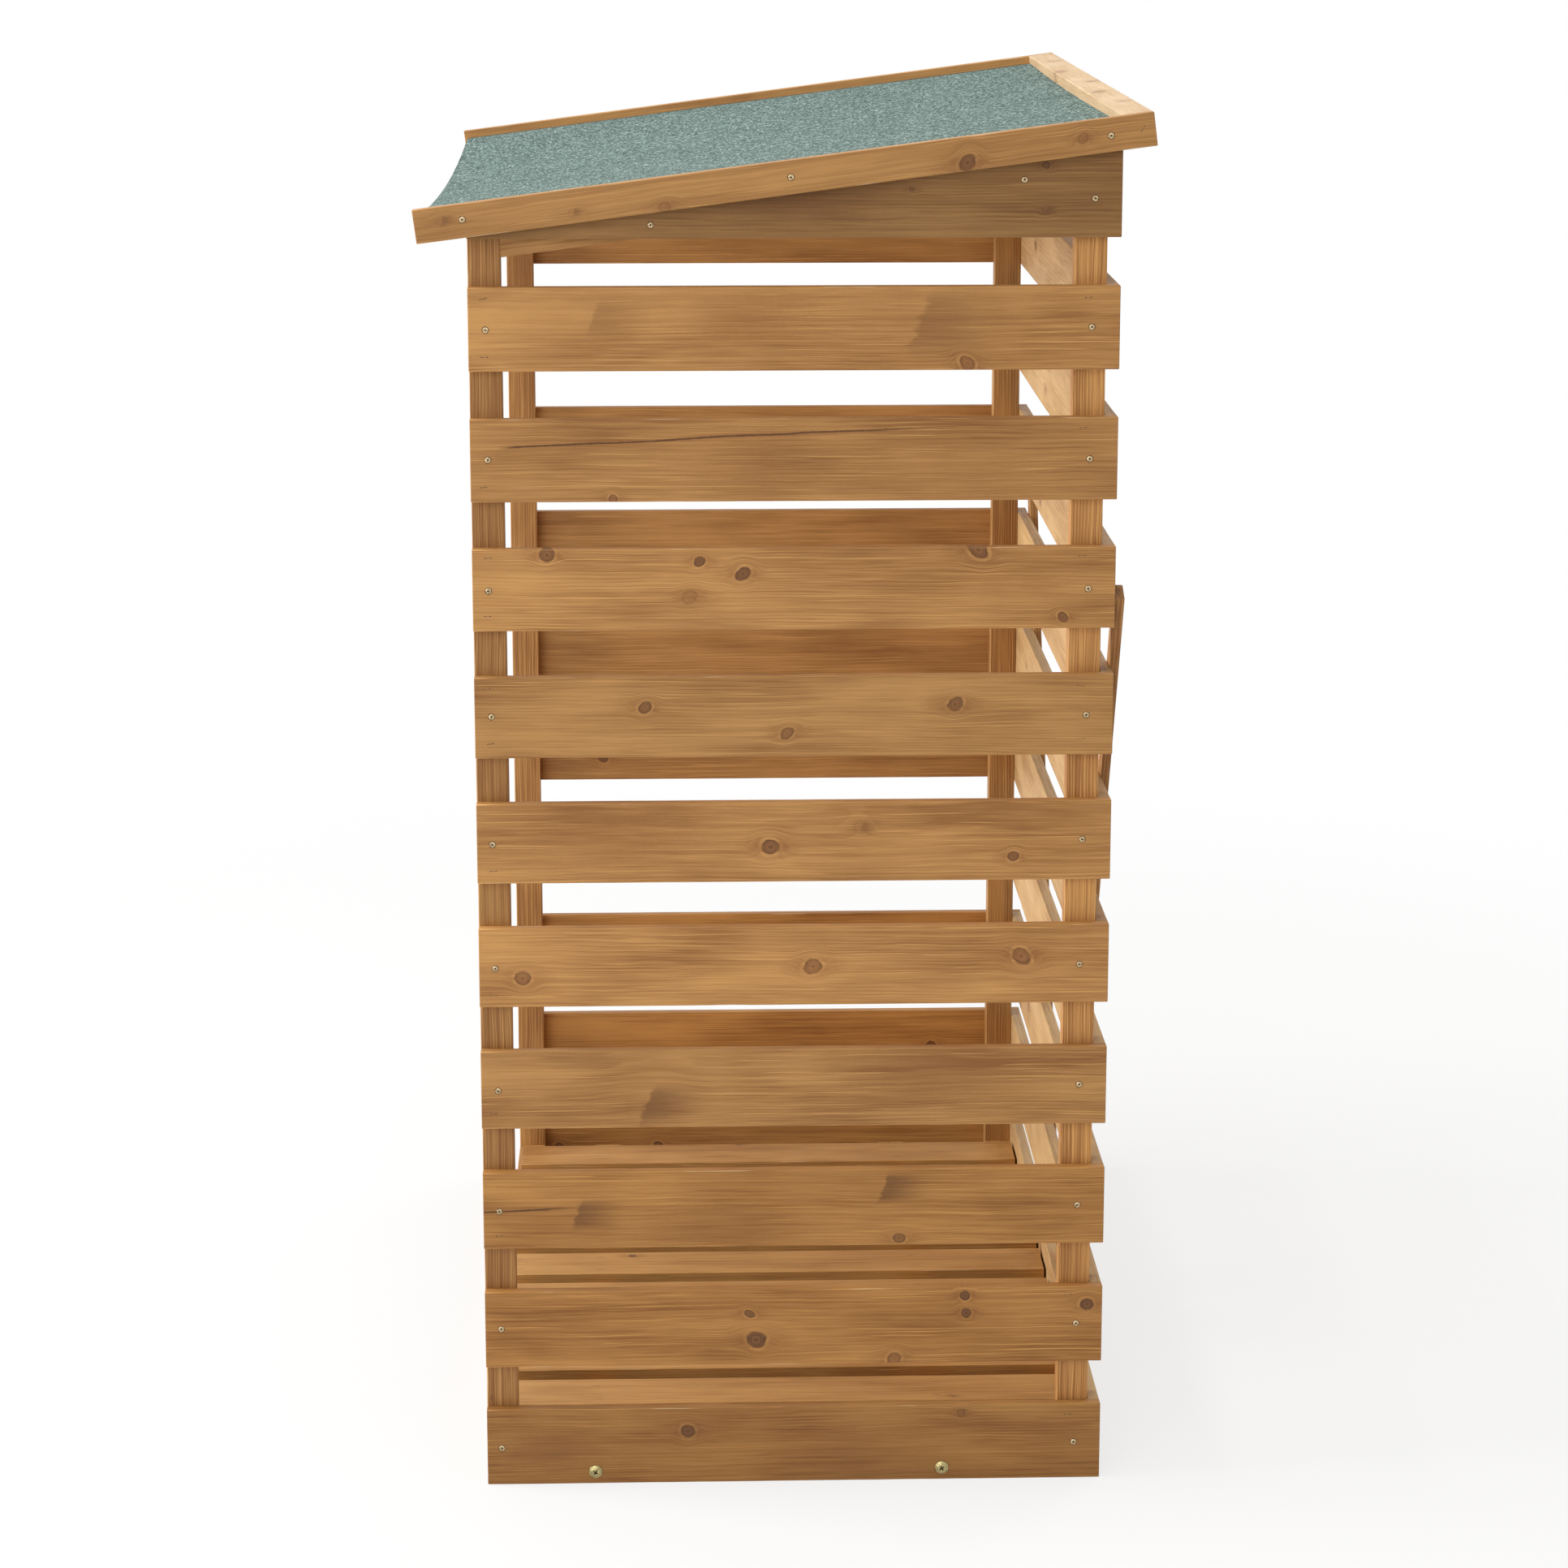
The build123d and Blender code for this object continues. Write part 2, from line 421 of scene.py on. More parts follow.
    # Colour, from the stain down to the chipped arrises
    rings = late_wood * contrast * (0.75 + blotch * 1.5)
    stain = 0.42 + rings + blotch * 1.1 + band * 0.9 + streak * 0.55 + fibre * 0.9 - pale_thread * 0.65
    colour = finish.mix(pale, dark, stain.at_most_one())
    layers = [
        (swirl_brown, halo * (blotch + 0.55)),
        (cloud_brown, cloud * (0.8 + fibre * 0.6)),
        (swirl_brown, wings * 0.5),
        (pale, pale_ring * ring_share),
        (heart, core * 0.85),
        (rim_dark, rim * (0.72 + ripple * 1.6)),
        (swirl_brown, crack_stain * 0.4),
        (rim_dark, crack * 0.85),
        (pale, arris * (0.35 + ripple * 0.8)),
        (raw_wood, arris * finish.step(ripple, 0.1, 0.2) * 0.7),
    ]
    for layer, share in layers:
        colour = finish.mix(colour, layer, share)
    # Each timber's lightness, which for the slats, back boards and gable holds painted shade and painted
    # light as well as their own tone, and darker end grain
    colour = finish.shade(colour, lightness * (1.0 - end_grain * 0.28))

    roughness = 0.52 + fibre * 0.25 + blotch * 0.12 - core * 0.1
    relief = finish.bump(fibre + ripple * 0.6, 0.55, 0.0005)
    return finish.surface(
        Base_Color=colour, Roughness=roughness, Normal=relief, Specular_IOR_Level=0.3
    )


def layered_board(name):
    """Thin plywood: a rotary-cut face and, at its edges, the plies."""
    finish = Finish(name)
    grain = finish.trait("grain")
    along, across, depth = grain.parts()
    wander = finish.noise(grain * (9.0, 2.0, 0.0), 3.0) - 0.5
    fibre = finish.noise(grain * (700.0, 12.0, 300.0), 3.0, 0.6) - 0.5
    year = ((along + wander * 0.16) / 0.019).fraction()
    late_wood = finish.step(year, 0.2, 0.9) * finish.step(year, 1.0, 0.92)
    ply = finish.step((depth / 0.0033).fraction(), 0.46, 0.54)
    shade = (0.2 + late_wood * 0.5 + fibre * 0.7 + ply * 0.35).at_most_one()
    colour = finish.mix((0.50, 0.30, 0.14), (0.26, 0.125, 0.045), shade)
    relief = finish.bump(fibre + late_wood * 0.4, 0.5, 0.0005)
    return finish.surface(Base_Color=colour, Roughness=0.62 + fibre * 0.2, Normal=relief)


def mineral_felt(name):
    """Roofing felt faced with green-grey mineral granules."""
    finish = Finish(name)
    grain = finish.trait("grain")
    settings = {"voronoi_dimensions": "3D", "feature": "F1"}
    from_middle = finish.node("ShaderNodeTexVoronoi", settings, {"Vector": grain, "Scale": 400.0})
    lot, other_lot = from_middle.beside("Color").parts()[:2]
    patch = finish.noise(grain * 8.0, 3.0) - 0.5
    clump = finish.noise(grain * (330.0, 190.0, 300.0), 2.0, 0.6) - 0.5
    choice = (0.46 + (lot - 0.5) * 0.95 + clump * 1.5 + patch * 0.15).at_most_one()
    stops = [
        (0.0, (0.008, 0.022, 0.019)), (0.28, (0.042, 0.086, 0.074)),
        (0.55, (0.103, 0.168, 0.147)), (0.8, (0.21, 0.30, 0.27)), (1.0, (0.45, 0.56, 0.52)),
    ]
    colour = finish.node("ShaderNodeValToRGB", {"stops": stops}, {0: choice})
    # Each granule is darker towards its edge: painted shade in the gaps between the granules, where the
    # dark bitumen also shows
    colour = finish.shade(colour, 1.05 - from_middle * 0.25)
    sideways = grain.parts()[1]
    # A near-black band along both long edges of the felt, where it meets the barge boards: painted shade
    # of that junction, with the dark bitumen at the felt's edge
    edge = finish.step(abs(sideways), felt_half_width - 11 * mm, felt_half_width - 5 * mm)
    colour = finish.mix(colour, (0.016, 0.017, 0.015), edge)
    relief = finish.bump(lot * 0.7 - from_middle * 0.9 + clump * 2.0, 0.8, 0.0014)
    return finish.surface(Base_Color=colour, Roughness=0.88 + other_lot * 0.1, Normal=relief)


def plated_metal(name, bright, dull, roughness):
    """Plated steel, dulled in patches and finely scratched."""
    finish = Finish(name)
    place = finish.node("ShaderNodeTexCoord", {}, {}, out="Object")
    dullness = finish.noise(place * 420.0, 3.0)
    scratch = finish.noise(place * (2600.0, 2600.0, 500.0), 2.0)
    colour = finish.mix(bright, dull, finish.step(dullness, 0.35, 0.7))
    relief = finish.bump(scratch, 0.2, 0.0002)
    return finish.surface(
        Base_Color=colour, Metallic=1.0, Roughness=roughness + dullness * 0.25, Normal=relief
    )


def bruised_wood_and_recess_shade(name):
    """Dark fibres pressed down around a screw head; the same dark finish is painted shade in a head's
    drive and in the holes at a staple's ends.
    """
    finish = Finish(name)
    place = finish.node("ShaderNodeTexCoord", {}, {}, out="Object")
    fibre = finish.noise(place * 1500.0, 3.0)
    colour = finish.mix((0.060, 0.026, 0.011), (0.17, 0.072, 0.026), fibre)
    return finish.surface(Base_Color=colour, Roughness=0.8, Normal=finish.bump(fibre, 0.6, 0.0003))


felt_half_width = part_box("roof_felt")[1].x
golden = ((0.53, 0.278, 0.090), (0.250, 0.104, 0.028))
side_finish = stained_timber("golden_side_timber", *golden, ring_width=3.6 * mm, contrast=0.26)
# A warmer copy of the side finish for the lowest slats: painted shade, where less of the light and sheen
# from above reaches them
shaded_golden = ((0.545, 0.270, 0.075), (0.257, 0.100, 0.022))
low_shaded_finish = stained_timber("shaded_golden_side_timber", *shaded_golden, ring_width=3.6 * mm, contrast=0.28)
# The back boards' finish is paler and greyer than the side timbers: painted light of the front light on
# their inner faces
lit_back_finish = stained_timber(
    "lit_golden_back_timber", (0.58, 0.38, 0.175), (0.32, 0.170, 0.064), ring_width=3.4 * mm, contrast=0.24
)
frame_finish = stained_timber("golden_frame_timber", *golden, ring_width=4.0 * mm, contrast=0.62)
floor_finish = stained_timber(
    "golden_floor_timber", (0.565, 0.315, 0.102), (0.29, 0.130, 0.034), ring_width=3.2 * mm, contrast=0.28
)
roof_finish = stained_timber(
    "golden_roof_timber", (0.55, 0.283, 0.090), (0.27, 0.112, 0.030), ring_width=3.6 * mm, contrast=0.22
)
rail_finish = stained_timber(
    "pale_rail_timber", (0.60, 0.435, 0.255), (0.40, 0.240, 0.110), ring_width=3.6 * mm, contrast=0.22
)
deck_finish = layered_board("roof_deck_board")
felt_finish = mineral_felt("green_mineral_felt")
screw_finish = plated_metal("yellow_plated_screws", (0.70, 0.56, 0.33), (0.30, 0.21, 0.11), 0.34)
wire_finish = plated_metal("dulled_staple_wire", (0.34, 0.22, 0.12), (0.10, 0.062, 0.035), 0.36)
brass_finish = plated_metal("yellow_plated_bolts", (0.52, 0.42, 0.19), (0.29, 0.26, 0.13), 0.24)
bruise_and_recess_shade_finish = bruised_wood_and_recess_shade("bruised_wood_and_recess_shade")


# Timbers


def put_in_scene(name, data):
    made = bpy.data.objects.new(name, data)
    bpy.context.scene.collection.objects.link(made)
    return made


def mesh_from(shell, name):
    mesh = bpy.data.meshes.new(name)
    shell.to_mesh(mesh)
    shell.free()
    return mesh


def band_between(first, second):
    """The corners of each face between two closed loops of points."""
    for number in range(len(first)):
        following = (number + 1) % len(first)
        yield first[number], first[following], second[following], second[number]


class Stack:
    """Collects timbers as one mesh, with what the finish needs to know about each of them."""

    vector_traits = ("grain", "seed", "tone")
    colour_traits = ("pith", "crack")
    knot_traits = [f"knot_{number}" for number in range(knots_at_once)]

    def __init__(self):
        self.points = []
        self.faces = []
        self.rounded = []
        self.traits = {name: [] for name in (*self.vector_traits, *self.colour_traits)}
        self.knots = {name: [] for name in self.knot_traits}

    def add_point(self, place, **traits):
        self.points.append(place)
        for name, values in self.traits.items():
            values.extend(traits[name])
        return len(self.points) - 1

    def add_face(self, corners, rounded, knots=()):
        self.faces.append(corners)
        self.rounded.append(rounded)
        for number, name in enumerate(self.knot_traits):
            self.knots[name].extend(knots[number] if number < len(knots) else no_knot)

    def piece(self, name, finish, slot, *nodes):
        """Makes the mesh a piece that stands for its nodes."""
        mesh = bpy.data.meshes.new(name)
        mesh.from_pydata(self.points, [], self.faces)
        for trait, values in {**self.traits, **self.knots}.items():
            kind = "VECTOR" if trait in self.vector_traits else "COLOR"
            domain = "FACE" if trait in self.knots else "POINT"
            layer = mesh.attributes.new(trait, f"FLOAT_{kind}", domain)
            layer.data.foreach_set(kind.lower(), values)
        mesh.polygons.foreach_set("use_smooth", self.rounded)
        shell = bmesh.new()
        shell.from_mesh(mesh)
        bmesh.ops.recalc_face_normals(shell, faces=shell.faces)
        shell.to_mesh(mesh)
        shell.free()
        mesh.materials.append(finish)
        made = put_in_scene(name, mesh)
        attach(made, "root")
        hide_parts(*nodes)
        return made


def section(half_width, half_thickness, radii):
    """Outline of a timber's section with rounded arrises: across, depth, and 1 on an arris."""
    outline = []
    signs = [(1, 1), (-1, 1), (-1, -1), (1, -1)]
    turns = [0.0, math.pi / 4, math.pi / 2]
    for quarter, ((sign_across, sign_depth), radius) in enumerate(zip(signs, radii)):
        middle = (sign_across * (half_width - radius), sign_depth * (half_thickness - radius))
        for number, turn in enumerate(turns):
            angle = quarter * math.pi / 2 + turn
            across = middle[0] + radius * math.cos(angle)
            depth = middle[1] + radius * math.sin(angle)
            outline.append((across, depth, float(number == 1)))
    return outline


def stray_knots(length, width, per_metre):
    """Knots of a timber that has none of its own listed."""
    knots = []
    for number in range(most_stray_knots):
        strength = chance.choice((0.1, 0.4, 0.9, 1.0))
        radius = chance.uniform(0.055, 0.095) * min(width, 100 * mm) * (2.2 if strength < 0.2 else 1.0)
        place = (chance.uniform(0.04, 0.96) * length, chance.uniform(-0.5, 0.5) * width)
        if chance.random() < per_metre * length / most_stray_knots:
            knots.append((*place, radius, strength))
    return knots


def nearest_knots(knots, start, end):
    """The knots that mark a stretch of a timber most."""

    def gap(knot):
        return max(start - knot[0], knot[0] - end, 0.0) / knot[2]

    near = sorted((knot for knot in knots if gap(knot) < 2 * knot_influence), key=gap)
    return near[:knots_at_once]


def saw(stack, size, place, knots=None, crack=None, tone=None, upright_rings=False, trim=None):
    """Adds a timber of that length, width and thickness; place takes along, across and depth."""
    length, width, thickness = size
    half_width = width / 2
    half_thickness = thickness / 2
    if knots is None:
        knots = stray_knots(length, width, knots_per_metre)
    lightness = tone or chance.uniform(0.93, 1.06)
    seed = [chance.uniform(0, 60) for axis in range(3)]
    side = chance.choice((-1, 1))
    if upright_rings:
        pith = (0.0, side * chance.uniform(45, 95) * mm, chance.uniform(-8, 8) * mm)
    else:
        sideways = side * chance.uniform(0.3, 1.1) * width
        pith = (0.0, sideways, chance.choice((-1, 1)) * chance.uniform(50, 110) * mm)
    traits = {
        "seed": seed,
        "pith": (*pith, chance.uniform(-0.008, 0.008)),
        "crack": crack or no_crack,
    }

    count = max(4, round(length / station_gap))
    stations = [end_bevel + (length - 2 * end_bevel) * step / count for step in range(count + 1)]
    stations = [0.0, *stations, length]
    softness = [arris_radius * chance.uniform(0.8, 1.3) for corner in range(4)]
    rings = []
    for number, along in enumerate(stations):
        at_end = number in (0, len(stations) - 1)
        radii = []
        for corner in range(4):
            nicked = chance.random() < nick_chance
            worn = nick_radius if nicked else softness[corner] * chance.uniform(0.8, 1.25)
            radii.append(min(worn, 0.2 * min(width, thickness)))
        inset = end_bevel if at_end else 0.0
        ring = []
        for across, depth, on_arris in section(half_width - inset, half_thickness - inset, radii):
            if trim:
                across = trim(along, across)
            spot = (along, across, depth)
            look = (lightness, float(at_end), on_arris)
            ring.append(stack.add_point(place(*spot), grain=spot, tone=look, **traits))
        rings.append(ring)
    for number, (first, second) in enumerate(zip(rings, rings[1:])):
        near = nearest_knots(knots, stations[number], stations[number + 1])
        for corner, corners in enumerate(band_between(first, second)):
            stack.add_face(corners, corner % 3 != 2, near)
    stack.add_face(tuple(reversed(rings[0])), False, nearest_knots(knots, 0.0, 0.0))
    stack.add_face(tuple(rings[-1]), False, nearest_knots(knots, length, length))


def squared(low, high, along, across, depth):
    """Size and place of a timber that fills a box, its axes given by number."""
    middle = (low + high) / 2
    size = high - low

    def place(distance, sideways, inwards):
        point = middle.copy()
        point[along] = low[along] + distance
        point[across] += sideways
        point[depth] += inwards
        return point

    return (size[along], size[across], size[depth]), place


def corner_points(node):
    """Corners of each separate solid of a node, from the lowest X up."""
    shell = bmesh.new()
    shell.from_mesh(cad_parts[node].data)
    bmesh.ops.remove_doubles(shell, verts=shell.verts, dist=0.01 * mm)
    waiting = set(shell.verts)
    solids = []
    while waiting:
        edge_of_search = [waiting.pop()]
        found = []
        while edge_of_search:
            point = edge_of_search.pop()
            found.append(point.co.copy())
            for edge in point.link_edges:
                other = edge.other_vert(point)
                if other in waiting:
                    waiting.remove(other)
                    edge_of_search.append(other)
        solids.append(found)
    shell.free()

    def first_corner(points):
        return round(min(p.x for p in points), 4), round(min(p.y for p in points), 4)

    return sorted(solids, key=first_corner)


def box_of(points):
    low = Vector([min(p[axis] for p in points) for axis in range(3)])
    high = Vector([max(p[axis] for p in points) for axis in range(3)])
    return low, high


def knots_from(listed, width):
    """Knots listed in millimetres from the front end and the lower edge, in a timber's own metres."""
    return [(a * mm, up * mm - width / 2, radius * mm, strength) for a, up, radius, strength in listed]


X, Y, Z = 0, 1, 2
body_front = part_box("right_slat_01")[0].y
slat_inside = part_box("right_slat_01")[0].x
post_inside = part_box("right_front_post")[0].x

# The roof's own axes, from the right-hand barge board: up the slope and square to it
right_barge = corner_points("barge_boards")[1]
roof_front_top = min(right_barge, key=lambda p: p.y)
roof_rear_top = max(right_barge, key=lambda p: p.z)
roof_front_base = min(right_barge, key=lambda p: p.z)
top_edge = roof_rear_top - roof_front_top
up_slope = Vector((0, top_edge.y, top_edge.z)).normalized()
off_slope = Vector((0, -up_slope.z, up_slope.y))
slope_rise = up_slope.z / up_slope.y
roof_start = Vector((0, roof_front_top.y, roof_front_top.z))
barge_length = top_edge.dot(up_slope)
barge_height = (roof_front_top - roof_front_base).dot(off_slope)


def on_roof(x, distance, height):
    """A point by its place across the roof, up its slope and above its top edge."""
    return roof_start + Vector((x, 0, 0)) + up_slope * distance + off_slope * height


def side_slats(side):
    """The slats of one side; those on the right have their own knots, cracks and lightness."""
    for level in range(1, slat_count + 1):
        node = f"{side}_slat_{level:02d}"
        low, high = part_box(node)
        size, place = squared(low, high, Y, Z, X)
        stack = Stack()
        knots = crack = tone = None
        if side == "right":
            knots = knots_from(right_slat_knots[level], size[1])
            tone = right_slat_tones_and_shade[level - 1]
            if level in right_slat_cracks:
                start, start_up, end, end_up = [value * mm for value in right_slat_cracks[level]]
                crack = (start, start_up - size[1] / 2, end, end_up - size[1] / 2)
        saw(stack, size, place, knots, crack, tone)
        finish = low_shaded_finish if level <= shaded_low_slats else side_finish
        stack.piece(f"{node}_timber", finish, "side_timber", node)


def back_boards():
    """The boards of the back, which run between the slats of the two sides."""
    for level in range(1, slat_count + 2):
        node = f"back_board_{level:02d}"
        low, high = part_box(node)
        stack = Stack()
        saw(stack, *squared(low, high, X, Z, Y), tone=back_board_painted_light.get(level))
        stack.piece(f"{node}_timber", lit_back_finish, "back_timber", node)


def posts():
    """The four posts, with their tops cut to the roof's slope."""
    for side in ("right", "left"):
        for end in ("front", "back"):
            node = f"{side}_{end}_post"
            low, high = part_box(node)
            size, flat_place = squared(low, high, Z, Y, X)

            def place(distance, sideways, inwards):
                point = flat_place(distance, sideways, inwards)
                point.z -= (high.y - point.y) * slope_rise * (point.z - low.z) / (high.z - low.z)
                return point

            stack = Stack()
            knots = stray_knots(size[0], size[1], post_knots_per_metre)
            saw(stack, size, place, knots, tone=post_tones.get(node), upright_rings=True)
            stack.piece(f"{node}_timber", frame_finish, "frame_timber", node)


def gable_boards():
    """The tapered boards under the two ends of the roof."""
    stack = Stack()
    for points, knots in zip(corner_points("gable_boards"), (left_gable_knots, right_gable_knots)):
        low, high = box_of(points)
        size, place = squared(low, high, Y, Z, X)
        tip = size[1] - size[0] * slope_rise

        def trim(distance, sideways):
            height = tip + distance * slope_rise
            return (sideways + size[1] / 2) * height / size[1] - size[1] / 2

        saw(stack, size, place, knots_from(knots, size[1]), tone=gable_tone_and_shade, trim=trim)
    stack.piece("gable_boards_timber", side_finish, "side_timber", "gable_boards")


def rafters():
    """The rafter behind each gable board, its ends cut upright."""
    stack = Stack()
    for points in corner_points("rafters"):
        low, high = box_of(points)
        run = high.y - low.y
        height = high.z - low.z - run * slope_rise
        middle_x = (low.x + high.x) / 2

        def place(distance, sideways, inwards):
            level = low.z + distance * slope_rise + height / 2
            return Vector((middle_x + inwards, low.y + distance, level + sideways))

        saw(stack, (run, height, high.x - low.x), place)
    stack.piece("rafters_timber", frame_finish, "frame_timber", "rafters")


def front_rail():
    """The rail between the front posts, under the deck."""
    stack = Stack()
    low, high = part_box("front_rail")
    saw(stack, *squared(low, high, X, Y, Z))
    stack.piece("front_rail_timber", frame_finish, "frame_timber", "front_rail")


def brace_corners(points):
    """A brace's lowest corner, the corner furthest to its side and its highest corner."""
    side = 1 if points[0].x > 0 else -1
    foot = min(points, key=lambda p: p.z)
    head = max(points, key=lambda p: p.x * side)
    top = max(points, key=lambda p: p.z)
    return foot, head, top


def back_braces():
    """The two braces, each from its foot near the middle of the back up to one side."""
    stack = Stack()
    for points in corner_points("back_braces"):
        foot, head, top = brace_corners(points)
        near_y, far_y = box_of(points)[0].y, box_of(points)[1].y
        along = Vector((head.x - foot.x, 0, head.z - foot.z))
        across = Vector((top.x - head.x, 0, top.z - head.z))
        width = across.length
        start = Vector((foot.x, (near_y + far_y) / 2, foot.z)) + across / 2
        along_way = along.normalized()
        across_way = across.normalized()

        def place(distance, sideways, inwards):
            return start + along_way * distance + across_way * sideways + Vector((0, inwards, 0))

        saw(stack, (along.length, width, far_y - near_y), place, tone=brace_tone)
    stack.piece("back_braces_timber", frame_finish, "frame_timber", "back_braces")


def timbers_of(node, along, across, depth, finish, slot):
    """Every square-cut timber of a node, as one piece."""
    stack = Stack()
    for points in corner_points(node):
        saw(stack, *squared(*box_of(points), along, across, depth))
    stack.piece(f"{node}_timber", finish, slot, node)


def barge_boards():
    """The boards along the roof's two edges, set in by the height of their screw heads."""
    stack = Stack()
    for points, knots in zip(corner_points("barge_boards"), (None, right_barge_knots)):
        low, high = box_of(points)
        if high.x > 0:
            high.x -= screw_stand
        else:
            low.x += screw_stand
        middle_x = (low.x + high.x) / 2

        def place(distance, sideways, inwards):
            return on_roof(middle_x + inwards, distance, sideways - barge_height / 2)

        listed = knots_from(knots, barge_height) if knots else None
        saw(stack, (barge_length, barge_height, high.x - low.x), place, listed, tone=barge_tone)
    stack.piece("barge_boards_timber", roof_finish, "roof_timber", "barge_boards")


def rear_rail():
    """The rail across the roof's high end, its grain across the roof."""
    stack = Stack()
    points = corner_points("roof_rear_rail")[0]
    low, high = box_of(points)
    distances = [(p - roof_start).dot(up_slope) for p in points]
    heights = [(p - roof_start).dot(off_slope) for p in points]
    width = max(distances) - min(distances)
    thickness = max(heights) - min(heights)

    def place(distance, sideways, inwards):
        up = min(distances) + width / 2 + sideways
        return on_roof(low.x + distance, up, max(heights) - thickness / 2 + inwards)

    size = (high.x - low.x, width, thickness)
    saw(stack, size, place, knots_from(rear_rail_knots, width), tone=rail_tone)
    stack.piece("roof_rear_rail_timber", rail_finish, "roof_timber", "roof_rear_rail")


def rim_of(rows):
    """The points around the edge of a sheet's rows, in turn."""
    right = [row[-1] for row in rows[1:]]
    left = [row[0] for row in rows[-2:0:-1]]
    return rows[0] + right + rows[-1][-2::-1] + left


def roof_sheet(node, finish, slot):
    """Deck or felt: a thin sheet that sags between the rafters, most at its open front."""
    points = corner_points(node)[0]
    half_width = max(p.x for p in points)
    distances = [(p - roof_start).dot(up_slope) for p in points]
    start, end = min(distances), max(distances)
    heights = [(p - roof_start).dot(off_slope) for p in points if abs(p.x) > half_width - 1 * mm]
    top, base = max(heights), min(heights)

    def height_at(x, distance):
        share = (distance - start) / (end - start)
        hollow = max(0.0, 1 - (x / post_inside) ** 2)
        sag = front_sag + (rear_sag - front_sag) * share
        return -sag * hollow

    stack = Stack()
    plain = {name: no_crack for name in stack.colour_traits}
    layers = []
    for level in (top, base):
        rows = []
        for up in range(sheet_steps_up + 1):
            distance = start + (end - start) * up / sheet_steps_up
            row = []
            for step in range(sheet_steps_across + 1):
                x = half_width * (2 * step / sheet_steps_across - 1)
                place = on_roof(x, distance, level + height_at(x, distance))
                grain = (distance, x, level - base)
                row.append(stack.add_point(place, grain=grain, seed=(0, 0, 0), tone=(1, 0, 0), **plain))
            rows.append(row)
        layers.append(rows)
        for lower, upper in zip(rows, rows[1:]):
            for step in range(sheet_steps_across):
                stack.add_face((lower[step], lower[step + 1], upper[step + 1], upper[step]), True)
    for corners in band_between(*[rim_of(rows) for rows in layers]):
        stack.add_face(corners, False)
    made = stack.piece(f"{node}_sheet", finish, slot, node)
    made.data.set_sharp_from_angle(angle=math.radians(40))


# Fixings


def cross_outline(reach, half_slot):
    """Outline of a cross-shaped drive."""
    corners = []
    for quarter in range(4):
        turn = quarter * math.pi / 2
        for along, sideways in ((reach, -half_slot), (reach, half_slot), (half_slot, half_slot)):
            x = along * math.cos(turn) - sideways * math.sin(turn)
            y = along * math.sin(turn) + sideways * math.cos(turn)
            corners.append((x, y))
    return corners


def head_shape(profile, drive_reach, bruise_radius):
    """A head turned to a profile of radius and height, with a cross drive and a ring of bruised wood."""
    shell = bmesh.new()
    angles = [2 * math.pi * number / head_sides for number in range(head_sides)]
    ragged = [bruise_radius * chance.uniform(0.9, 1.1) for angle in angles]

    def ring(radii, height):
        turned = zip(radii, angles)
        return [shell.verts.new((r * math.cos(a), r * math.sin(a), height)) for r, a in turned]

    rings = [ring(ragged, -bruise_depth), ring(ragged, bruise_rise)]
    rings += [ring([radius] * head_sides, height) for radius, height in profile]
    shell.faces.new(rings[0]).material_index = 1
    for number, (outer, inner) in enumerate(zip(rings, rings[1:])):
        for corners in band_between(outer, inner):
            face = shell.faces.new(corners)
            face.smooth = number > 1
            face.material_index = int(number < 2)

    drive = cross_outline(drive_reach, drive_reach * 0.26)
    lip = [shell.verts.new((x, y, profile[-1][1])) for x, y in drive]
    bed = [shell.verts.new((x * 0.8, y * 0.8, profile[0][1])) for x, y in drive]
    edges = []
    for loop in (rings[-1], lip):
        for first, second in zip(loop, loop[1:] + loop[:1]):
            edges.append(shell.edges.get((first, second)) or shell.edges.new((first, second)))
    bmesh.ops.triangle_fill(shell, edges=edges, use_beauty=True)
    # The drive's walls and bed take the dark finish: painted shade in the recess
    for corners in band_between(lip, bed):
        shell.faces.new(corners).material_index = 1
    shell.faces.new(bed).material_index = 1
    bmesh.ops.recalc_face_normals(shell, faces=shell.faces)
    return mesh_from(shell, "head_shape")


def staple_shape():
    """A staple driven in level with the wood: a flattened crown, and a torn hole at each of its ends,
    drawn as a flat dark patch: painted shade of the hole, with its torn fibres.
    """
    shell = bmesh.new()

    def rounded_bar(middle, reach, radius, top, material):
        low = []
        high = []
        for number in range(head_sides):
            angle = 2 * math.pi * (number + 0.5) / head_sides
            x = middle + math.copysign(reach, math.cos(angle)) + radius * math.cos(angle)
            y = radius * math.sin(angle)
            low.append(shell.verts.new((x, y, -bruise_depth)))
            high.append(shell.verts.new((x, y, top)))
        faces = [shell.faces.new(low), shell.faces.new(high)]
        faces += [shell.faces.new(corners) for corners in band_between(low, high)]
        for face in faces:
            face.material_index = material

    half = staple_crown / 2
    rounded_bar(0.0, half - staple_wire, staple_wire / 2, head_base, 0)
    # Dark patches at the ends: painted shade of the holes, in the finish of pressed fibres
    for end in (-half, half):
        rounded_bar(end, 0.4 * staple_wire, 0.8 * staple_wire, bruise_rise, 1)
    bmesh.ops.recalc_face_normals(shell, faces=shell.faces)
    return mesh_from(shell, "staple_shape")


